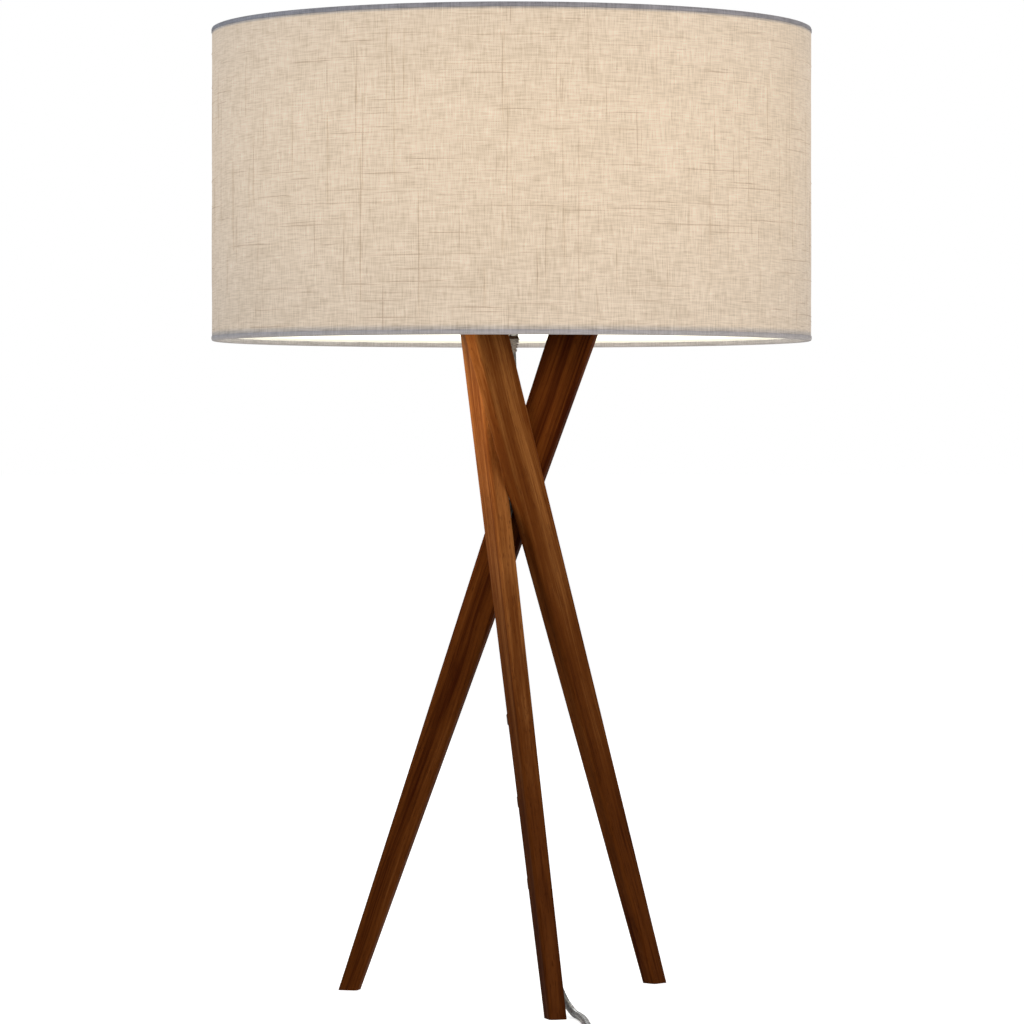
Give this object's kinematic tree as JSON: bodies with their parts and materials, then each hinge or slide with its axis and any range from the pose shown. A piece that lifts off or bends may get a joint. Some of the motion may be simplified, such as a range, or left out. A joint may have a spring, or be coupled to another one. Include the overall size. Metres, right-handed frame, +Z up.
{
  "type": "tripod table lamp",
  "caption": "Table lamp: crossed, tapered wooden tripod legs carry a socket and harp under a wide drum shade of slubbed linen, with a clear cord and plug.",
  "frame": {"origin": "on the surface that the feet stand on, under the centre of the drum shade", "axes": "+Z up, -Y towards the front leg's side, +X to the right"},
  "size_m": [0.4333, 0.561, 0.698],
  "materials": {
    "walnut": "satin lacquer over open grain",
    "plated_steel": "zinc plated",
    "brass": "satin",
    "bronze_moulding": "moulded, bronze brown",
    "card_insulation": "waxed fibre paper",
    "phenolic": "moulded phenolic",
    "clear_cord": "clear sheath over silver braid",
    "aluminium": "rolled",
    "black_moulding": "moulded",
    "frosted_glass": "white inner coat, lit",
    "clear_glass": "clear",
    "linen": "slubbed plain weave, beige, lit from inside",
    "liner_film": "laminated film, glowing warm white",
    "trim_tape": "folded grey edging",
    "white_wire": "white powder coat",
    "brown_moulding": "moulded",
    "clear_moulding": "clear grey moulding"
  },
  "bodies": {
    "stand": {"leg_front": "walnut", "leg_right": "walnut", "leg_left": "walnut", "hub_plate": "walnut", "hub_screws": "plated_steel", "waist_pins": "plated_steel", "nipple": "plated_steel", "lower_lock_nut": "plated_steel", "upper_lock_nut": "plated_steel", "cord_bushing": "bronze_moulding", "harp_saddle": "plated_steel", "harp": "plated_steel", "harp_sleeves": "brass", "socket_cap": "brass", "socket_shell": "brass", "socket_sleeve": "card_insulation", "switch_body": "phenolic", "terminal_screws": "brass", "lead_wires": "clear_cord", "screw_shell": "aluminium", "centre_contact": "brass", "cord_clips": "brown_moulding", "cord": "clear_cord", "cord_coil": "clear_cord", "cord_tie": "brown_moulding", "cord_tail": "clear_cord", "plug_body": "clear_moulding", "plug_blades": "brass"},
    "shade": {"shade_cover": "linen", "shade_liner": "liner_film", "top_trim": "trim_tape", "bottom_trim": "trim_tape", "top_ring": "white_wire", "bottom_ring": "white_wire", "spider": "white_wire"},
    "bulb": {"bulb_glass": "frosted_glass", "bulb_cap": "aluminium", "bulb_insulator": "black_moulding", "bulb_tip": "aluminium", "bulb_light_guide": "clear_glass"},
    "switch": {"switch_shaft": "brass", "switch_knob": "black_moulding"},
    "finial": {"finial": "brass"}
  },
  "joints": [
    {"name": "shade_lift", "type": "slide", "parent": "stand", "child": "shade", "axis": [0, 0, 1], "range_m": [0, 0.25]},
    {"name": "finial_turn", "type": "hinge", "parent": "shade", "child": "finial", "pos_m": [0, 0, 0.684], "axis": [0, 0, 1], "continuous": true},
    {"name": "bulb_turn", "type": "hinge", "parent": "stand", "child": "bulb", "pos_m": [0, 0, 0.56], "axis": [0, 0, 1], "continuous": true},
    {"name": "switch_turn", "type": "hinge", "parent": "stand", "child": "switch", "pos_m": [0, -0.03, 0.5245], "axis": [0, -1, 0], "continuous": true}
  ]
}
